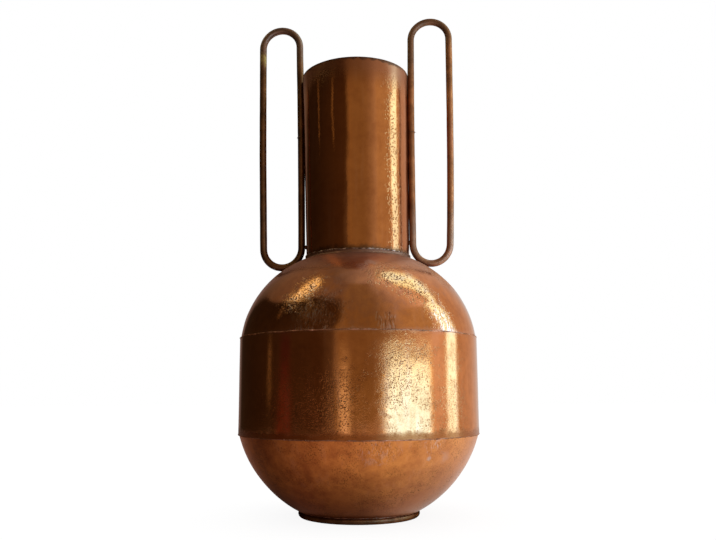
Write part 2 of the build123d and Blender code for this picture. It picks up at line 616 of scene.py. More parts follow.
class TurnedWall(Tool):
    """Turns a section about the axis and works dents and ripples into the sheet."""

    WELD = 1e-6

    def __init__(self) -> None:
        """Builds the tree."""
        super().__init__("turned_wall", {
            "Segments": 400, "Dent Depth": 0.0006, "Dent Size": 0.035, "Ripple Depth": 0.0001,
            "Ripple Size": 0.007, "Bulge Height": 0.0, "Bulge Share": 0.0,
        })
        graph, given = self.graph, self.given
        size = graph.node("GeometryNodeAttributeDomainSize", None, {"Geometry": self.host})
        rows = size.output("Point Count")
        grid = graph.node("GeometryNodeMeshGrid", None, {
            "Size X": 1.0, "Size Y": 1.0,
            "Vertices X": given.output("Segments") + 1.0, "Vertices Y": rows,
        })
        place = graph.node("GeometryNodeInputPosition")
        across, along, _ = graph.parts(place)
        row = graph.math("ROUND", (along + 0.5) * (rows - 1.0))
        settings = {"data_type": "FLOAT_VECTOR", "clamp": True}
        sockets = {"Geometry": self.host, "Value": place, "Index": row}
        radius, _, height = graph.parts(graph.node("GeometryNodeSampleIndex", settings, sockets))
        angle = (across + 0.5) * FULL_TURN
        turned = graph.vector(
            radius * graph.math("COSINE", angle), radius * graph.math("SINE", angle), height
        )
        wall = graph.node("GeometryNodeSetPosition", None, {"Geometry": grid, "Position": turned})
        sockets = {"Geometry": wall, "Distance": self.WELD}
        wall = graph.node("GeometryNodeMergeByDistance", None, sockets)

        x, y, z = graph.parts(place)
        lift = (z - given.output("Bulge Height")) * given.output("Bulge Share")
        settings = {"operation": "NORMALIZE"}
        outwards = graph.node("ShaderNodeVectorMath", settings, {0: graph.vector(x, y, lift)})
        seed = given.output("Seed")
        dent = graph.noise(place, given.output("Dent Size"), detail=1.0, rough=0.4, seed=seed)
        ripple = graph.noise(place, given.output("Ripple Size"), detail=1.0, seed=seed + 1.0)
        depth = (dent - 0.5) * given.output("Dent Depth")
        depth = depth + (ripple - 0.5) * given.output("Ripple Depth")
        sockets = {"Geometry": wall, "Offset": outwards * depth}
        self.close(graph.node("GeometryNodeSetPosition", None, sockets))


class PathTool(Tool):
    """A tool that lays a round rod along the host's path, with the slight wander of hand work."""

    def lay(self, radius: str, sides: Operand, drift: Wire, swell: Wire) -> tuple[Wire, Wire]:
        """Lays the rod.

        Args:
            radius: Name of the input that holds its radius.
            sides: How many sides it has.
            drift: Noise that moves the path.
            swell: Noise that makes the rod thicker and thinner.

        Returns:
            The path and the rod.
        """
        graph, given = self.graph, self.given
        line = graph.node("GeometryNodeMeshToCurve", None, {"Mesh": self.host})
        sockets = {"Curve": line, "Length": given.output("Step")}
        line = graph.node("GeometryNodeResampleCurve", {"mode": "LENGTH"}, sockets)
        offset = (drift.output("Color") - 0.5) * given.output("Wander")
        line = graph.node("GeometryNodeSetPosition", None, {"Geometry": line, "Offset": offset})
        sockets = {"Resolution": sides, "Radius": given.output(radius)}
        circle = graph.node("GeometryNodeCurvePrimitiveCircle", None, sockets)
        rod = graph.node("GeometryNodeCurveToMesh", None, {
            "Curve": line, "Profile Curve": circle, "Fill Caps": True,
            "Scale": 1.0 + (swell - 0.5) * given.output("Uneven"),
        })
        return line, rod


class BentRod(PathTool):
    """Bends a round rod along a closed path."""

    SWELLS_PER_WANDER = 3.0

    def __init__(self) -> None:
        """Builds the tree."""
        super().__init__("bent_rod", {
            "Rod Radius": 0.0035, "Sides": 20, "Step": 0.002, "Wander": 0.0003, "Wander Size": 0.05,
            "Uneven": 0.08,
        })
        graph, given = self.graph, self.given
        place = graph.node("GeometryNodeInputPosition")
        seed, size = given.output("Seed"), given.output("Wander Size")
        drift = graph.noise(place, size, detail=1.0, seed=seed)
        swell = graph.noise(place, size / self.SWELLS_PER_WANDER, detail=1.0, seed=seed + 1.0)
        _, rod = self.lay("Rod Radius", given.output("Sides"), drift, swell)
        self.close(rod)


class SolderRun(PathTool):
    """Runs an uneven bead of solder along a path, with drops beside it."""

    SIDES = 10
    DRIFT_SIZE = 0.009
    SWELL_SIZE = 0.006
    SMALLEST_DROP = 0.5

    def __init__(self) -> None:
        """Builds the tree."""
        super().__init__("solder_run", {
            "Bead Radius": 0.0006, "Step": 0.0012, "Uneven": 1.3, "Wander": 0.0014,
            "Drop Share": 0.05, "Drop Radius": 0.0009,
        })
        graph, given = self.graph, self.given
        place = graph.node("GeometryNodeInputPosition")
        seed = given.output("Seed")
        drift = graph.noise(place, self.DRIFT_SIZE, detail=2.0, rough=0.6, seed=seed)
        swell = graph.noise(place, self.SWELL_SIZE, detail=3.0, rough=0.6, seed=seed + 1.0)
        line, bead = self.lay("Bead Radius", self.SIDES, drift, swell)
        ball = graph.node("GeometryNodeMeshIcoSphere", None, {"Radius": 1.0, "Subdivisions": 2})
        chosen = graph.node("FunctionNodeRandomValue", {"data_type": "BOOLEAN"}, {
            "Probability": given.output("Drop Share"), "Seed": seed,
        })
        reach = graph.node("FunctionNodeRandomValue", {"data_type": "FLOAT"}, {
            "Min": self.SMALLEST_DROP, "Max": 1.0, "Seed": seed + 1.0,
        })
        drops = graph.node("GeometryNodeInstanceOnPoints", None, {
            "Points": line, "Selection": chosen, "Instance": ball,
            "Scale": graph.vector(1.0, 1.0, 1.0) * (reach * given.output("Drop Radius")),
        })
        self.close(graph.node("GeometryNodeJoinGeometry", None, {"Geometry": [bead, drops]}))


@dataclass(frozen=True)
class Drop:
    """A lump of solder: its centre, the way it faces, its half width and its rise."""

    centre: Vector
    facing: Vector
    reach: float
    rise: float


@dataclass
class Outline:
    """Outside of a turned piece, as points of radius and height that run upwards."""

    points: list[Vector]

    def line(self, end: Vector, step: float) -> Outline:
        """Goes straight on to a point.

        Args:
            end: The point.
            step: About the length of a step.

        Returns:
            The outline.
        """
        start = self.points[-1]
        count = max(1, round((end - start).length / step))
        self.points += [start.lerp(end, i / count) for i in range(1, count + 1)]
        return self

    def arc(self, end: Vector, radius: float, step: float) -> Outline:
        """Goes on to a point along an arc that bulges away from the axis.

        Args:
            end: The point.
            radius: The arc's radius.
            step: About the length of a step.

        Returns:
            The outline.
        """
        start = self.points[-1]
        centre = arc_centre(start, end, radius)
        first, last = (math.atan2(*(p - centre).yx) for p in (start, end))
        count = max(2, round(radius * abs(last - first) / step))
        for i in range(1, count + 1):
            angle = first + (last - first) * i / count
            self.points.append(centre + radius * Vector((math.cos(angle), math.sin(angle))))
        return self

    def walled(self) -> list[Vector]:
        """Closed section of a sheet whose outside is the outline, with fewer points inside.

        Returns:
            The section's points, in the XZ plane.
        """
        inside = []
        for i, point in enumerate(self.points):
            before = self.points[max(i - 1, 0)]
            after = self.points[min(i + 1, len(self.points) - 1)]
            run = (after - before).normalized()
            inside.append(point + Vector((-run.y, run.x)) * SHEET_THICKNESS)
        if self.points[0].x == 0:
            inside[0].x = 0
        last = len(inside) - 1
        kept = [p for i, p in enumerate(inside) if i % INSIDE_EVERY == 0 or i == last]
        tip = (self.points[-1] - self.points[-2]).normalized() * (EDGE_ROUND * SHEET_THICKNESS)
        edge = (self.points[-1] + inside[-1]) / 2 + tip
        loop = [*self.points, edge, *reversed(kept)]
        if self.points[0].x > 0:
            loop.append(self.points[0])
        return [Vector((p.x, 0, p.y)) for p in loop]


def arc_centre(low: Vector, high: Vector, radius: float) -> Vector:
    """Centre of the arc that bulges away from the axis between two points of an outline.

    Args:
        low: The lower point.
        high: The upper point.
        radius: The arc's radius.

    Returns:
        The centre.
    """
    chord = high - low
    inwards = Vector((-chord.y, chord.x)).normalized()
    return (low + high) / 2 + inwards * math.sqrt(radius**2 - (chord.length / 2) ** 2)


def ring_path(radius: float, height: float, count: int = 360) -> list[Vector]:
    """Points of a level ring about the axis."""
    turns = (FULL_TURN * i / count for i in range(count))
    return [Vector((radius * math.cos(a), radius * math.sin(a), height)) for a in turns]


def install(piece: Object, node: str) -> None:
    """Puts a finished piece in the place of a node.

    Args:
        piece: The piece.
        node: The node that it stands for.
    """
    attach(piece, BODY)
    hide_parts(node)
    LOG.info("%s stands for %s: %d faces", piece.name, node, len(piece.data.polygons))


def rod_finish(name: str, **details: Any) -> Material:
    """Finish of old rod, pitted all over and dark at its limbs.

    Args:
        name: The material's name.
        details: What differs from one rod to another.

    Returns:
        The material.
    """
    return CopperFinish(
        name, edge=(0.12, 0.08, 0.05), cloud_size=0.014, pitting_share=0.4, pit_base=1.0,
        streak_share=0.6, **details,
    ).material()


@dataclass
class Workshop:
    """The tools and finishes that all sub-assemblies share."""

    turning: TurnedWall = field(default_factory=TurnedWall)
    bending: BentRod = field(default_factory=BentRod)
    soldering: SolderRun = field(default_factory=SolderRun)
    solder: Material = field(default_factory=lambda: SolderFinish().material())
    grimy_solder: Material = field(default_factory=lambda: SolderFinish(
        "grimy_solder", pale=(0.5, 0.29, 0.2), brown=(0.08, 0.034, 0.017), patch_size=0.005,
    ).material())
    braze: Material = field(default_factory=lambda: SolderFinish(
        "brown_braze", pale=(0.22, 0.1, 0.055), brown=(0.12, 0.052, 0.026),
    ).material())
    rod: Material = field(default_factory=lambda: rod_finish(
        "brown_rod", bright=(0.2, 0.08, 0.031), brown=(0.085, 0.036, 0.016), rose=(0.2, 0.075, 0.045),
        # pale here is the gold of the painted highlight spot below.
        pale=(0.75, 0.5, 0.13), roughness=0.42, seed=40.0,
        # Painted highlight: a gold glint on the left loop's upper leg.
        spots=(Spot((-0.1005, -0.003, 0.476), 0.009, 0.3),),
        # Painted highlight: pinkish-grey over the top of the left loop.
        zones=(Zone(0.455, 0.49, (0.24, 0.14, 0.1), 0.5, 0.0),),
    ))
    worn_rod: Material = field(default_factory=lambda: rod_finish(
        "worn_rod", bright=(0.47, 0.168, 0.062), brown=(0.2, 0.074, 0.031), rose=(0.4, 0.13, 0.075),
        roughness=0.5, seed=45.0, zones=(
            Zone(0.312, 0.345, (0.14, 0.075, 0.045), 0.75, 0.0, (-0.6, 0.0, 0.8)),
            Zone(0.315, 0.28, (0.36, 0.215, 0.145), 0.4, 0.0),
        ),
    ))

    def sheet(self, name: str, node: str, slot: Slot, outline: Outline, finish: CopperFinish,
              lean: Matrix | None = None, **sizes: float) -> None:
        """Puts turned sheet in the place of a node.

        Args:
            name: The piece's name.
            node: The node.
            slot: Not used.
            outline: The sheet's outside.
            finish: Its finish.
            lean: Turn that leans the finished sheet.
            sizes: Inputs of the tool that differ from the usual ones.
        """
        section = outline.walled()
        piece = self.turning.make(name, section, finish.material(), Seed=finish.seed, **sizes)
        if lean is not None:
            piece.data.transform(lean)
        install(piece, node)

    def bead(self, name: str, node: str, path: list[Vector], closed: bool,
             finish: Material | None = None, **sizes: float) -> None:
        """Runs a bead of solder along a path, in the place of a node.

        Args:
            name: The piece's name.
            node: The node.
            path: The path's points.
            closed: Whether the path is a ring.
            finish: The bead's material, if it isn't plain solder.
            sizes: Inputs of the tool that differ from the usual ones.
        """
        piece = self.soldering.make(name, path, finish or self.solder, closed, **sizes)
        install(piece, node)

    def lumps(self, name: str, node: str, drops: Sequence[Drop]) -> None:
        """Puts lumps of braze in the place of a node.

        Args:
            name: The piece's name.
            node: The node.
            drops: The lumps.
        """
        shell = bmesh.new()
        for drop in drops:
            made = bmesh.ops.create_icosphere(shell, subdivisions=LUMP_FINENESS, radius=1.0)["verts"]
            turn = drop.facing.to_track_quat("Z", "Y").to_matrix()
            for vert in made:
                lump = 1.0 + LUMP_DEPTH * noise.noise(vert.co * LUMP_WAVES + drop.centre * LUMP_VARIETY)
                flat = Vector((vert.co.x * drop.reach, vert.co.y * drop.reach, vert.co.z * drop.rise))
                vert.co = drop.centre + turn @ (flat * lump)
        mesh = bpy.data.meshes.new(name)
        shell.to_mesh(mesh)
        shell.free()
        mesh.shade_smooth()
        mesh.materials.append(self.braze)
        piece = bpy.data.objects.new(name, mesh)
        bpy.context.scene.collection.objects.link(piece)
        install(piece, node)


@dataclass
class Foot:
    """Ring of bent rod that the vase stands on, and the solder above it."""

    shop: Workshop
    rod: float = 0.0066
    rod_sides: int = 24
    segments: int = 240
    flat: float = 0.0005
    bead_radius: float = 0.0009
    bead_place: float = 0.2

    def build(self) -> None:
        """Makes the ring and its solder."""
        low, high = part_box("foot_ring")
        middle = Vector((high.x - self.rod / 2, self.rod / 2 - self.flat))
        section = []
        for i in range(self.rod_sides + 1):
            angle = -FULL_TURN * i / self.rod_sides
            point = middle + self.rod / 2 * Vector((math.cos(angle), math.sin(angle)))
            section.append(Vector((point.x, 0, min(max(point.y, low.z), high.z))))
        ring = self.shop.turning.make("foot_rod", section, self.shop.rod, Segments=self.segments,
                                      Dent_Size=0.03, Ripple_Depth=0.0002, Ripple_Size=0.006, Seed=1.0)
        install(ring, "foot_ring")
        path = ring_path(middle.x + self.rod * self.bead_place, high.z)
        self.shop.bead("foot_bead", "foot_solder", path, True, Bead_Radius=self.bead_radius, Seed=2.0)


@dataclass
class Body:
    """Bowl, band and shoulder, with the solder along their seams."""

    shop: Workshop
    step: float = 0.002
    floor_step: float = 0.006
    collar_step: float = 0.001
    bowl_arc: float = 0.117
    floor_overhang: float = 0.0003
    shoulder_arc: float = 0.0985
    seam_rise: float = 0.0002
    seam_sink: float = 0.0005
    side_sink: float = 0.0003

    def build(self) -> None:
        """Makes the three sheets and their seams."""
        self.build_bowl()
        self.build_band()
        self.build_shoulder()
        self.build_seams()

    def build_bowl(self) -> None:
        """Makes the satin bowl."""
        low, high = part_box("lower_bowl")
        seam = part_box("belly_band")[0].z
        floor = Vector((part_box("foot_ring")[1].x + self.floor_overhang, low.z))
        lip = Vector((high.x, seam))
        outline = Outline([Vector((0, low.z))]).line(floor, self.floor_step)
        outline.arc(lip, self.bowl_arc, self.step).line(Vector((high.x, high.z)), self.step)
        finish = CopperFinish(
            "satin_bowl", bright=(0.62, 0.208, 0.048), brown=(0.33, 0.09, 0.024), roughness=0.36,
            roughness_spread=0.2, cloud_size=0.05, mottle_size=0.009, mottle_squash=1.3,
            mottle_share=0.35, pitting_share=0.7, pit_base=0.8, peel_depth=0.00008, seed=10.0, spots=(
                Spot((0.07, -0.086, 0.061), 0.0035, 0.4), Spot((0.032, -0.108, 0.064), 0.005, 0.12),
                Spot((0.021, -0.108, 0.06), 0.005, 0.12), Spot((0.084, -0.073, 0.061), 0.008, 0.15),
            ),
            scuffs=(Spot((0.075, -0.088, 0.073), 0.012, 0.35), Spot((0.03, -0.11, 0.068), 0.02, 0.2)),
            zones=(
                # Painted shade: darker towards the bottom of the bowl.
                Zone(0.045, 0.012, (0.26, 0.049, 0.019), 0.5, 0.0),
                # Painted shade: duller, less red colour towards the lower right, as the camera sees it.
                Zone(-0.03, 0.03, (0.36, 0.125, 0.056), 0.6, 0.0, (0.66, 0.07, -0.75)),
            ),
        )
        centre = arc_centre(floor, lip, self.bowl_arc)
        self.shop.sheet("bowl_wall", "lower_bowl", Slot.BOWL, outline, finish,
                        Bulge_Height=centre.y, Bulge_Share=1.0)

    def build_band(self) -> None:
        """Makes the bright band."""
        low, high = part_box("belly_band")
        outline = Outline([Vector((high.x, low.z))]).line(Vector((high.x, high.z)), self.step)
        finish = CopperFinish(
            "bright_band", bright=(0.475, 0.164, 0.053), brown=(0.33, 0.102, 0.03), pitting_size=0.0007,
            pitting_share=0.29, grain_share=0.8, seed=20.0, zones=(
                Zone(0.087, 0.081, (0.2, 0.05, 0.011), 0.85, 0.25),
                Zone(0.168, 0.1708, (0.36, 0.14, 0.065), 0.5, 0.15),
            ),
            pitted=(
                Spot((0.044, -0.109, 0.137), 0.03, 0.9), Spot((0.052, -0.106, 0.124), 0.024, 0.6),
                Spot((0.07, -0.095, 0.11), 0.016, 0.7), Spot((0.036, -0.112, 0.111), 0.016, 0.7),
                Spot((0.067, -0.097, 0.088), 0.016, 0.7), Spot((0.068, -0.097, 0.146), 0.02, 0.6),
                Spot((0.039, -0.111, 0.087), 0.012, 0.6), Spot((-0.045, -0.109, 0.115), 0.05, 1.1),
                Spot((0.001, -0.118, 0.125), 0.026, 1.4), Spot((0.001, -0.118, 0.097), 0.028, 1.6),
                Spot((0.093, -0.073, 0.146), 0.026, 0.8), Spot((0.092, -0.074, 0.104), 0.036, 1.0),
                Spot((0.055, -0.105, 0.118), 0.055, 0.25),
                Spot((-0.022, -0.116, 0.102), 0.034, 0.3), Spot((-0.07, 0.095, 0.12), 0.045, 0.7),
                Spot((0.06, 0.102, 0.1), 0.03, 0.6), Spot((0.11, 0.04, 0.14), 0.03, 0.5),
                *spot_row((0.041, -0.111, 0.151), (0.066, -0.098, 0.151), 3, 0.016, 0.55),
            ),
            dulled=spot_row((0.031, -0.114, 0.092), (0.031, -0.114, 0.156), 5, 0.014, 0.1),
        )
        self.shop.sheet("belly_wall", "belly_band", Slot.SHEET, outline, finish,
                        Dent_Depth=0.0003, Ripple_Depth=0.00005)

    def build_shoulder(self) -> None:
        """Makes the shoulder with its lip and its collar."""
        low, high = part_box("shoulder_dome")
        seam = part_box("belly_band")[1].z
        collar = Vector((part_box("neck_seam_solder")[1].x, high.z - COLLAR_HEIGHT))
        lip = Vector((high.x, seam))
        outline = Outline([Vector((high.x, low.z))]).line(lip, self.step)
        outline.arc(collar, self.shoulder_arc, self.step)
        outline.line(Vector((collar.x, high.z)), self.collar_step)
        finish = CopperFinish(
            "shoulder_sheet", bright=(0.46, 0.162, 0.051), brown=(0.32, 0.1, 0.031), roughness=0.08,
            roughness_spread=0.12, mottle_share=0.45, pit_base=0.12, pit_depth=0.00012,
            streak_share=0.5, seed=30.0,
            pitted=(
                *spot_row((-0.052, -0.096, 0.199), (-0.03, -0.094, 0.217), 3, 0.016, 1.0),
                *spot_row((0.03, -0.089, 0.223), (0.067, -0.082, 0.206), 4, 0.018, 1.5),
                Spot((0.083, -0.076, 0.188), 0.026, 0.6), Spot((-0.023, -0.111, 0.188), 0.03, 0.25),
                Spot((-0.05, 0.085, 0.21), 0.03, 0.6), Spot((0.07, 0.07, 0.21), 0.03, 0.5),
            ),
            dulled=(
                Spot((0.078, -0.022, 0.235), 0.035, 0.45), Spot((-0.078, -0.022, 0.235), 0.035, 0.45),
                Spot((-0.03, -0.109, 0.185), 0.027, 0.2),
            ),
            spots=(
                Spot((0.013, -0.084, 0.232), 0.007, 0.2), Spot((0.02, -0.077, 0.237), 0.007, 0.25),
                Spot((0.012, -0.1, 0.208), 0.05, 0.07), Spot((0.066, -0.06, 0.226), 0.035, 0.1),
                Spot((-0.055, -0.07, 0.222), 0.05, 0.06),
            ),
            scuffs=(
                Spot((0.035, -0.11, 0.178), 0.013, 0.6), Spot((0.085, -0.077, 0.18), 0.02, 0.5),
                Spot((-0.028, -0.109, 0.188), 0.035, 0.5),
            ),
            zones=(
                Zone(0.1752, 0.1722, (0.42, 0.175, 0.1), 0.5, 0.2),
                Zone(0.22, 0.25, (0.31, 0.12, 0.074), 0.75, 0.5),
                Zone(0.2485, 0.2525, (0.12, 0.055, 0.03), 0.7, 0.1),
            ),
        )
        centre = arc_centre(lip, collar, self.shoulder_arc)
        self.shop.sheet("shoulder_wall", "shoulder_dome", Slot.SHEET, outline, finish,
                        Ripple_Depth=0.0002, Bulge_Height=centre.y, Bulge_Share=1.0)

    def build_seams(self) -> None:
        """Runs solder along the band's edges and its upright seam."""
        low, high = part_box("belly_band")
        edges = (("lower", low.z - self.seam_rise, 3.0), ("upper", high.z + self.seam_rise, 4.0))
        for label, height, seed in edges:
            path = ring_path(high.x - self.seam_sink, height)
            self.shop.bead(f"{label}_seam_bead", f"{label}_seam_solder", path, True, Uneven=2.4,
                           Drop_Share=0.1, Drop_Radius=0.001, Seed=seed)
        ends = [Vector((0, high.x - self.side_sink, z)) for z in (low.z, high.z)]
        self.shop.bead("belly_side_bead", "belly_side_solder", ends, False, Drop_Share=0.1, Seed=5.0)


@dataclass
class Neck:
    """Tall flared tube that leans a little, with solder around its foot and along its back."""

    shop: Workshop
    radius: float = 0.0529
    rim_radius: float = 0.056
    height: float = 0.1978
    tuck: float = 0.006
    lean: float = math.radians(0.6)
    step: float = 0.0016
    segments: int = 280
    bead_points: int = 240
    bead_out: float = 0.0004
    bead_rise: float = 0.0002
    side_sink: float = 0.0003
    side_end: float = 0.0008

    @property
    def collar_foot(self) -> float:
        """Height of the collar's foot, about which the neck leans."""
        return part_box("shoulder_dome")[1].z - COLLAR_HEIGHT

    def radius_at(self, height: float) -> float:
        """Outside radius of the tube at a height."""
        return self.radius + (self.rim_radius - self.radius) * (height - self.collar_foot) / self.height

    def tilt(self) -> Matrix:
        """Turn that leans an upright tube towards the left handle."""
        pivot = Matrix.Translation((0, 0, self.collar_foot))
        return pivot @ Matrix.Rotation(-self.lean, 4, "Y") @ pivot.inverted()

    def build(self) -> None:
        """Makes the tube and its solder."""
        foot = self.collar_foot - self.tuck
        mouth = self.collar_foot + self.height
        outline = Outline([Vector((self.radius_at(foot), foot))])
        outline.line(Vector((self.rim_radius, mouth)), self.step)
        finish = CopperFinish(
            "neck_sheet", bright=(0.45, 0.156, 0.048), brown=(0.315, 0.097, 0.029), roughness=0.08,
            pitting_size=0.0012, pit_depth=0.0002, streak_share=0.6, seed=50.0,
            pitted=(
                *spot_row((0.037, -0.041, 0.425), (0.0415, -0.0335, 0.262), 10, 0.014, 0.9),
                Spot((-0.02, 0.05, 0.38), 0.03, 0.6), Spot((0.035, 0.042, 0.3), 0.03, 0.5),
            ),
            zones=(
                # Darker towards the rim: painted shade where the reflected strip of light ends; the
                # added dullness is a rougher rim.
                Zone(0.416, 0.444, (0.22, 0.074, 0.035), 0.75, 0.3),
                # Painted shade: a dark line along the top edge of the rim.
                Zone(0.4462, 0.4485, (0.05, 0.02, 0.01), 0.8, 0.2),
                # Painted shade: the neck's right side, as the camera sees it, darker and duller.
                Zone(0.0405, 0.0445, (0.3, 0.1, 0.045), 0.4, 0.3, (0.9945, 0.1045, 0.0)),
                # Painted shade: a dark line at the neck's foot, just above the collar.
                Zone(0.2605, 0.2555, (0.07, 0.03, 0.014), 0.75, 0.25),
            ),
        )
        self.shop.sheet("neck_wall", "neck_tube", Slot.SHEET, outline, finish, self.tilt(),
                        Segments=self.segments, Dent_Depth=0.0008, Dent_Size=0.04)
        collar = self.collar_foot + COLLAR_HEIGHT
        radius = self.radius_at(collar) + self.bead_out
        path = ring_path(radius, collar + self.bead_rise, self.bead_points)
        self.shop.bead("collar_bead", "neck_seam_solder", path, True, self.shop.grimy_solder,
                       Bead_Radius=0.0008, Uneven=1.6, Drop_Share=0.12, Drop_Radius=0.0012, Seed=6.0)
        heights = (collar, mouth - self.side_end)
        ends = [Vector((0, self.radius_at(z) - self.side_sink, z)) for z in heights]
        ends = [self.tilt() @ end for end in ends]
        self.shop.bead("neck_side_bead", "neck_side_solder", ends, False, Drop_Share=0.1, Seed=7.0)


@dataclass(frozen=True)
class HandBend:
    """How a loop bent by hand strays from two straight legs, outwards from the neck.

    Each leg bows most at its middle, and the outer leg is drawn in or out towards its lower end.
    """

    inner_bow: float
    outer_bow: float
    outer_draw: float
    thick: float

    def stray(self, outer: bool, fall: float) -> float:
        """How far a leg strays outwards.

        Args:
            outer: Whether it is the outer leg.
            fall: 0 at the leg's top and 1 at its foot.

        Returns:
            The distance.
        """
        bow = self.outer_bow if outer else self.inner_bow
        draw = self.outer_draw * fall**3 if outer else 0.0
        return bow * math.sin(math.pi * fall) + draw


@dataclass
class LoopHandle:
    """Closed loop of rod beside the neck, with its braze, its tacks and its seat."""

    shop: Workshop
    neck: Neck
    side: Side
    hand: HandBend
    width: float = 0.0474
    rod: float = 0.007
    bend_steps: int = 32
    leg_steps: int = 40
    first_seed: float = 60.0
    braze_height: float = 0.12
    braze_reach: float = 0.55
    braze_rise: float = 0.0009
    tack_reach: float = 0.0021
    tack_sink: float = 0.0009
    seat_reach: float = 0.0058
    seat_rise: float = 0.0016

    def node(self, piece: str) -> str:
        """Name of one of the handle's nodes or pieces."""
        return f"{self.side.label}_{piece}"

    def path(self) -> tuple[Vector, Vector, list[Vector]]:
        """Works out the rod's centre line.

        Returns:
            The centres of the lowest and the highest bend, and the line's points.
        """
        low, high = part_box(self.node("handle"))
        half = self.width / 2
        sign = self.side.value
        near, far = (low.x, high.x) if sign > 0 else (high.x, low.x)
        bottom = Vector((near + sign * half, 0, low.z + half))
        top = Vector((far - sign * half, 0, high.z - half))
        up = (top - bottom).normalized()
        out = Vector((up.z, 0, -up.x)) * sign
        bend = half - self.rod / 2
        length = (top - bottom).length
        points = []
        for centre, first in ((top, 0.0), (bottom, math.pi)):
            for i in range(self.bend_steps + 1):
                angle = first + math.pi * i / self.bend_steps
                points.append(centre + bend * (out * math.cos(angle) + up * math.sin(angle)))
            leg_start = points[-1]
            sense = -1 if centre is top else 1
            steps = self.leg_steps
            points += [leg_start + up * (sense * length * i / steps) for i in range(1, steps)]
        for i, point in enumerate(points):
            fall = min(max((top - point).dot(up) / length, 0.0), 1.0)
            share = ((point - bottom).dot(out) / bend + 1) / 2
            stray = self.hand.stray(True, fall) * share + self.hand.stray(False, fall) * (1 - share)
            points[i] = point + out * stray
        return bottom, top, points

    def build(self) -> None:
        """Makes the loop and its solder."""
        bottom, top, points = self.path()
        finish = self.shop.worn_rod if self.side is Side.RIGHT else self.shop.rod
        radius = self.rod / 2 * self.hand.thick
        seed = self.first_seed + self.side.value
        loop = self.shop.bending.make(self.node("loop"), points, finish, True,
                                      Rod_Radius=radius, Seed=seed)
        install(loop, self.node("handle"))
        up = (top - bottom).normalized()
        inwards = Vector((-up.z, 0, up.x)) * self.side.value
        leg = bottom + inwards * (self.width - self.rod) / 2
        braze = Drop(leg + up * self.braze_height, up, self.rod * self.braze_reach, self.braze_rise)
        self.shop.lumps(self.node("braze_bead"), self.node("handle_braze"), [braze])
        self.build_tacks(leg, up, inwards)
        self.build_seat(bottom)

    def build_tacks(self, leg: Vector, up: Vector, inwards: Vector) -> None:
        """Puts the three tacks between the inner leg and the neck.

        Args:
            leg: Foot of the inner leg.
            up: The way that the leg runs.
            inwards: The way from the leg to the neck.
        """
        low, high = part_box(self.node("neck_tacks"))
        tacks = []
        for height in (low.z + self.tack_reach, (low.z + high.z) / 2, high.z - self.tack_reach):
            on_leg = leg + up * ((height - leg.z) / up.z) + inwards * (self.rod / 2)
            wall = Vector((self.side.value * self.neck.radius_at(height), 0, height))
            wall = self.neck.tilt() @ wall
            rise = (on_leg - wall).length / 2 + self.tack_sink
            tacks.append(Drop((on_leg + wall) / 2, inwards, self.tack_reach, rise))
        self.shop.lumps(self.node("tack_beads"), self.node("neck_tacks"), tacks)

    def build_seat(self, bottom: Vector) -> None:
        """Puts the puddle of solder under the lowest bend.

        Args:
            bottom: Centre of the lowest bend.
        """
        low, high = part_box(self.node("seat_solder"))
        centre = (low + high) / 2
        seat = Drop(centre, (bottom - centre).normalized(), self.seat_reach, self.seat_rise)
        self.shop.lumps(self.node("seat_bead"), self.node("seat_solder"), [seat])


@dataclass(frozen=True)
class Card:
    """Curved card around the vase that shows only in its gloss.

    Each station is a height and the card's two azimuths there, in degrees to the right of the
    camera. Where there is an end colour, the card changes to it along its run, and where there is a
    fringe, the card takes that colour beside its soft edges.
    """

    name: str
    stations: tuple[Station, ...]
    colour: Colour
    end_colour: Colour | None = None
    run: Run = Run.ACROSS
    soft: float = 0.0
    soft_top: float = 0.0
    fringe: Colour | None = None
    away: float = 1.2
    run_from: float = 0.3
    run_to: float = 1.1
    fringe_step: Step = (0.5, 1.5)

    def inside(self, graph: Graph, across: Wire, along: Wire, step: Step) -> Wire:
        """How far inside the card's sides and top a place lies.

        Args:
            graph: The material's graph.
            across: The place from side to side.
            along: The place from foot to top.
            step: Where the result starts and is full, in widths of the soft edge.

        Returns:
            0 at the edges and 1 well inside.
        """
        side, top = self.soft, self.soft_top or self.soft
        low, high = step
        share = graph.smooth(across, side * low, side * high)
        share = share * graph.smooth(across, 1 - side * low, 1 - side * high)
        return share * graph.smooth(along, 1 - top * low, 1 - top * high)

    def material(self) -> Material:
        """Builds a glow that fades to nothing over the card's soft edges.

        Returns:
            The material.
        """
        material, graph = new_material(self.name)
        across, along, _ = graph.parts(graph.node("ShaderNodeUVMap", {"uv_map": CARD_MAP}))
        strength = max(*self.colour, *(self.end_colour or self.colour))
        colour, end, fringe = (
            tint and tuple(c / strength for c in tint)
            for tint in (self.colour, self.end_colour, self.fringe)
        )
        if end:
            where = across if self.run is Run.ACROSS else along
            colour = graph.mix(graph.smooth(where, self.run_from, self.run_to), colour, end)
        if fringe:
            inner = self.inside(graph, across, along, self.fringe_step)
            colour = graph.mix(inner, fringe, colour)
        shine = graph.glow(colour, strength)
        if self.soft > 0:
            edge = self.inside(graph, across, along, (0.0, 1.0))
            clear = graph.node("ShaderNodeBsdfTransparent")
            shine = graph.node("ShaderNodeMixShader", None, {"Fac": edge, 1: clear, 2: shine})
        graph.finish(shine)
        return material


def upright(low: float, high: float, left: float, right: float) -> tuple[Station, Station]:
    """Stations of a card with upright sides."""
    return (low, left, right), (high, left, right)


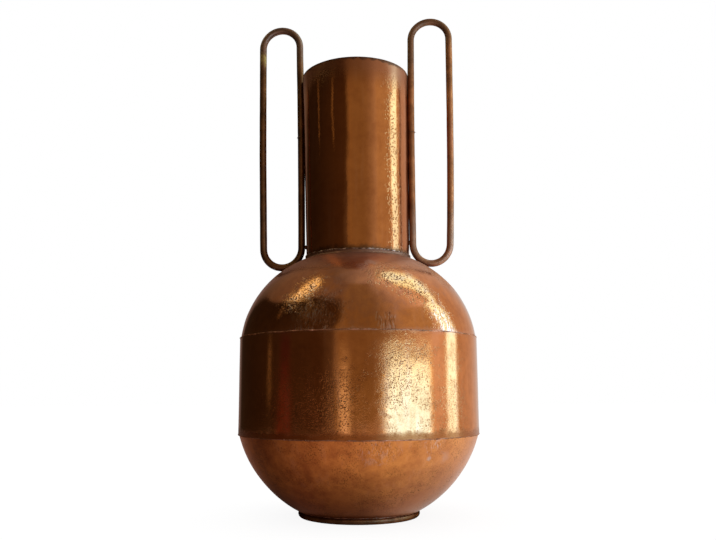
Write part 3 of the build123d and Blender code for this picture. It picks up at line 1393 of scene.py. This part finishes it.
@dataclass(frozen=True)
class PaleFloor:
    """Floor that reads white and keeps a soft shadow."""

    glow: Colour = (0.9, 0.9, 0.9)
    unlit: Colour = (0.0, 0.0, 0.0)
    matt: Colour = (0.13, 0.13, 0.13)

    def material(self) -> Material:
        """Builds the material.

        Returns:
            The material.
        """
        material, graph = new_material("pale_floor")
        rays = graph.node("ShaderNodeLightPath")
        seen = rays.output("Is Camera Ray") + rays.output("Is Glossy Ray")
        seen = seen + rays.output("Is Transmission Ray")
        lit = graph.node("ShaderNodeBsdfDiffuse", None, {"Color": self.matt})
        shine = graph.glow(graph.mix(seen, self.unlit, self.glow))
        graph.finish(graph.node("ShaderNodeAddShader", None, {0: lit, 1: shine}))
        return material


@dataclass(frozen=True)
class FloorShade:
    """The floor as the bowl mirrors it: darker to the left and near the foot."""

    level: float = 1.07
    slope: float = 0.93
    near: float = 0.22
    near_right: float = 0.33
    near_left: float = 0.25
    right_step: Step = (0.0, 0.7)
    left_step: Step = (-0.4, -0.9)
    foot_step: Step = (0.06, 0.2)
    left_tint: Colour = (1.0, 0.75, 0.68)
    right_tint: Colour = (0.76, 0.88, 0.97)

    def material(self, azimuth: float) -> Material:
        """Builds the material.

        Args:
            azimuth: The camera's azimuth, which left and right go by, in radians.

        Returns:
            The material.
        """
        material, graph = new_material("floor_shade")
        place = graph.place()
        x, y, _ = graph.parts(place)
        radius = graph.measure("LENGTH", place)
        side = (x * math.cos(azimuth) + y * math.sin(azimuth)) / radius
        right = self.near_right * graph.smooth(side, *self.right_step)
        left = self.near_left * graph.smooth(side, *self.left_step)
        near = self.near + right + left
        shade = near + (1.0 - near) * graph.smooth(radius, *self.foot_step)
        tint = graph.mix(graph.smooth(side, -1.0, 1.0), self.left_tint, self.right_tint)
        graph.finish(graph.glow(tint * ((self.level + self.slope * side) * shade)))
        return material


@dataclass(frozen=True)
class Ceiling:
    """Ceiling that is dim on the left and bright on the right."""

    height: float = 5.0
    reach: float = 1.5
    dim: Colour = (0.3, 0.28, 0.25)
    bright: Colour = (0.95, 1.0, 1.1)

    def material(self) -> Material:
        """Builds the material.

        Returns:
            The material.
        """
        material, graph = new_material("ceiling")
        x, _, _ = graph.parts(graph.place())
        share = graph.smooth(x, -self.reach, self.reach)
        graph.finish(graph.glow(graph.mix(share, self.dim, self.bright)))
        return material


@dataclass
class Studio:
    """Camera, pale floor, white surroundings and the cards that shape the gloss."""

    azimuth: float = 6.0
    distance: float = 0.762
    height: float = 0.1183
    pitch: float = 9.25
    roll: float = -0.26
    image_width: float = 716.0
    focal_pixels: float = 750.2
    sensor: float = 36.0
    near_clip: float = 0.01
    floor_reach: float = 6.0
    floor_drop: float = 0.0002
    shade_reach: float = 1.1
    columns: int = 24
    cards: tuple[Card, ...] = (
        Card("left_wall", upright(0.0, 5.0, -172, -14), (0.22, 0.19, 0.15), (0.36, 0.32, 0.27),
             Run.UPWARD, away=1.45, run_from=0.16, run_to=0.34),
        Card("dark_wall", (
            (0.0, -170, -20), (0.4, -160, -20), (0.52, -154, -21), (0.69, -146, -13), (0.8, -140, -12),
            (0.92, -117, -11), (1.0, -106, -12), (1.29, -74, -17), (1.66, -54, -22), (1.9, -36, -25),
        ), (0.045, 0.034, 0.022), (0.113, 0.075, 0.043), soft=0.1, soft_top=0.25),
        Card("front_wall", upright(0.0, 5.0, -21, 84), (0.44, 0.38, 0.24), (1.75, 1.9, 2.2),
             Run.ACROSS, away=1.4),
        Card("right_wall", upright(0.0, 5.0, 84, 186), (1.2, 1.16, 1.1), (0.7, 0.66, 0.66),
             Run.ACROSS, away=1.4, run_from=0.45, run_to=0.9),
        Card("pier", upright(0.4, 1.25, 38, 82), (0.95, 0.93, 0.75), soft=0.2, away=1.3),
        Card("low_window", ((0.0, 19.5, 70), (0.17, 19.5, 70), (0.2215, 34, 70.5)), (2.9, 8.1, 17.5),
             (2.9, 6.0, 8.5), Run.UPWARD, 0.08, 0.1, (2.4, 2.6, 1.1), run_from=0.0, run_to=1.0),
        Card("tall_window", (
            (0.0, 81, 98), (0.22, 81, 98), (0.36, 79, 101), (0.52, 76, 99), (0.66, 74, 97),
            (0.72, 86, 100), (0.82, 85, 103), (0.95, 81, 108), (1.1, 77, 114), (1.3, 67, 120),
            (1.85, 63, 121), (2.2, 64, 116), (3.2, 80, 107),
        ), (3.2, 6.8, 11.2), (2.8, 5.6, 7.3), Run.UPWARD, 0.13, fringe=(2.0, 2.5, 1.6), away=0.7,
             run_from=0.05, run_to=0.4),
        Card("high_window", (
            (1.08, -92, -80), (1.23, -92, -74), (1.4, -93, -69), (1.7, -95, -67), (2.24, -100, -68),
            (3.0, -106, -83),
        ), (2.45, 3.2, 2.6), soft=0.15, fringe=(1.5, 1.45, 0.65), away=1.17),
        Card("door_gap", upright(0.1, 0.245, -88.6, -84.2), (0.28, 0.25, 0.16), soft=0.2, away=1.15),
        Card("door_top", upright(0.72, 0.97, -87.6, -84.6), (0.32, 0.27, 0.16), soft=0.2, away=1.15),
        Card("wall_gap", upright(0.72, 0.97, -51, -47.5), (0.35, 0.3, 0.17), soft=0.2, away=1.15),
        Card("red_curtain", ((0.0, -83, -58), (0.06, -79, -58), (0.12, -76, -59), (0.3, -75, -62)),
             (0.19, 0.068, 0.05), (0.08, 0.028, 0.028), Run.UPWARD, 0.3, away=1.15, run_from=0.25,
             run_to=0.75),
        Card("back_glow", upright(0.0, 1.6, -178, -140), (0.26, 0.2, 0.18), soft=0.3, away=1.1),
        Card("front_gap", upright(0.0, 0.25, -19.5, -5), (1.55, 1.75, 1.75), (0.58, 0.53, 0.35),
             Run.UPWARD, 0.4, run_from=0.3, run_to=1.0),
        Card("front_post", upright(0.2, 1.1, -18, -8), (0.47, 0.4, 0.24), soft=0.3, away=1.25),
    )

    def build(self) -> None:
        """Sets the scene."""
        self.build_camera()
        self.build_world()
        shade = FloorShade().material(math.radians(self.azimuth))
        ceiling = Ceiling()
        self.lay_square("floor", self.floor_reach, -self.floor_drop, PaleFloor().material(), False)
        self.lay_square("floor_shade", self.shade_reach, -self.floor_drop / 2, shade, True)
        self.lay_square("ceiling", ceiling.reach, ceiling.height, ceiling.material(), True)
        for card in self.cards:
            self.build_card(card)

    def build_camera(self) -> None:
        """Puts the camera where the photograph was taken from."""
        data = bpy.data.cameras.new("camera")
        data.sensor_fit = "HORIZONTAL"
        data.sensor_width = self.sensor
        data.lens = self.focal_pixels / self.image_width * self.sensor
        data.clip_start = self.near_clip
        camera = bpy.data.objects.new("camera", data)
        bpy.context.scene.collection.objects.link(camera)
        place = Matrix.Translation((0, -self.distance, self.height))
        tilt = Matrix.Rotation(math.radians(90 + self.pitch), 4, "X")
        roll = Matrix.Rotation(math.radians(self.roll), 4, "Z")
        camera.matrix_world = self.facing() @ place @ tilt @ roll
        bpy.context.scene.camera = camera

    def facing(self) -> Matrix:
        """Turn about the axis that brings the camera's side of the vase to -Y."""
        return Matrix.Rotation(math.radians(self.azimuth), 4, "Z")

    def build_world(self) -> None:
        """Surrounds the vase with plain white."""
        world = bpy.data.worlds.new("white_surroundings")
        bpy.context.scene.world = world
        world.use_nodes = True
        graph = Graph(world.node_tree)
        sky = graph.node("ShaderNodeBackground", None, {"Color": (1.0, 1.0, 1.0), "Strength": 1.0})
        graph.node("ShaderNodeOutputWorld", None, {"Surface": sky})

    def stage_mesh(self, name: str, verts: list[Any], faces: list[Any], finish: Material,
                   gloss_only: bool) -> Object:
        """Adds a mesh that belongs to the stage.

        Args:
            name: Its name.
            verts: Its points.
            faces: Its faces.
            finish: Its material.
            gloss_only: Whether it shows only in the vase's gloss.

        Returns:
            The object.
        """
        mesh = bpy.data.meshes.new(name)
        mesh.from_pydata(verts, [], faces)
        mesh.materials.append(finish)
        piece = bpy.data.objects.new(name, mesh)
        bpy.context.scene.collection.objects.link(piece)
        if gloss_only:
            piece.visible_camera = False
            piece.visible_diffuse = False
            piece.visible_shadow = False
            piece.visible_transmission = False
        return piece

    def lay_square(self, name: str, half: float, height: float, finish: Material,
                   gloss_only: bool) -> None:
        """Lays a level square that is turned to the camera.

        Args:
            name: Its name.
            half: Half its width.
            height: Its height.
            finish: Its material.
            gloss_only: Whether it shows only in the vase's gloss.
        """
        corners = ((-half, -half), (half, -half), (half, half), (-half, half))
        turn = self.facing()
        verts = [turn @ Vector((x, y, height)) for x, y in corners]
        self.stage_mesh(name, verts, [(0, 1, 2, 3)], finish, gloss_only)

    def build_card(self, card: Card) -> None:
        """Stands up one card.

        Args:
            card: The card.
        """
        columns = self.columns
        verts, faces, uvs = [], [], []
        low, high = card.stations[0][0], card.stations[-1][0]
        for height, left, right in card.stations:
            for i in range(columns + 1):
                angle = math.radians(self.azimuth + left + (right - left) * i / columns)
                verts.append((card.away * math.sin(angle), -card.away * math.cos(angle), height))
                uvs.append((i / columns, (height - low) / (high - low)))
        for row in range(len(card.stations) - 1):
            for i in range(columns):
                a = row * (columns + 1) + i
                faces.append((a, a + 1, a + columns + 2, a + columns + 1))
        piece = self.stage_mesh(card.name, verts, faces, card.material(), True)
        layer = piece.data.uv_layers.new(name=CARD_MAP)
        for loop in piece.data.loops:
            layer.data[loop.index].uv = uvs[loop.vertex_index]


def main() -> None:
    """Builds the vase around its frame, and the studio around the vase."""
    logging.basicConfig(level=logging.INFO, format="%(name)s: %(message)s")
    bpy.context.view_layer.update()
    bpy.context.scene.view_settings.view_transform = "Standard"
    shop = Workshop()
    Foot(shop).build()
    Body(shop).build()
    neck = Neck(shop)
    neck.build()
    hands = {
        Side.RIGHT: HandBend(inner_bow=-0.0005, outer_bow=0.0, outer_draw=-0.0024, thick=1.0),
        Side.LEFT: HandBend(inner_bow=-0.0005, outer_bow=0.0006, outer_draw=0.0, thick=1.05),
    }
    for side, hand in hands.items():
        LoopHandle(shop, neck, side, hand).build()
    Studio().build()


if __name__ == "__main__":
    main()
